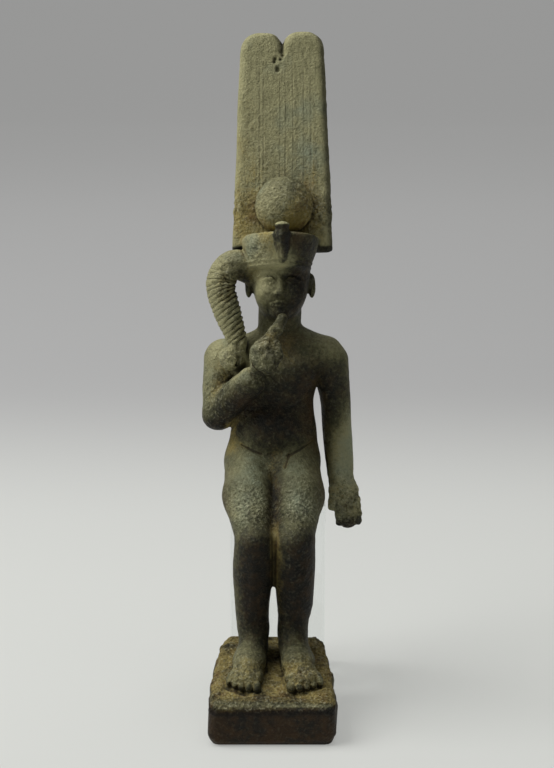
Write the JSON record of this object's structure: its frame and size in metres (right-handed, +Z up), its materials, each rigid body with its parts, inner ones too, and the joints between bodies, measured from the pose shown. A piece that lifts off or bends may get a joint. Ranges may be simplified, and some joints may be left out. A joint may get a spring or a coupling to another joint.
{
  "type": "seated bronze figure of a child god in a double-plume crown on a clear block",
  "caption": "Seated cast bronze of a child god with finger raised to the mouth, plaited sidelock and tall double-plume crown, feet on a sloping plinth, held up by a clear block.",
  "frame": {"origin": "centre of the plinth's flat underside, on the surface that the part stands on", "axes": "+Z up; the figure faces -Y; +X is to the viewer's right, the figure's own left"},
  "size_m": [0.038, 0.0644, 0.1543],
  "materials": {
    "patinated_bronze": "cast bronze under an olive-green to brown patina, with sandy ochre earth in the hollows",
    "clear_acrylic": "clear, colourless acrylic with polished faces"
  },
  "bodies": {
    "root": {"cast_figure": "patinated_bronze", "clear_seat_block": "clear_acrylic"}
  },
  "joints": []
}
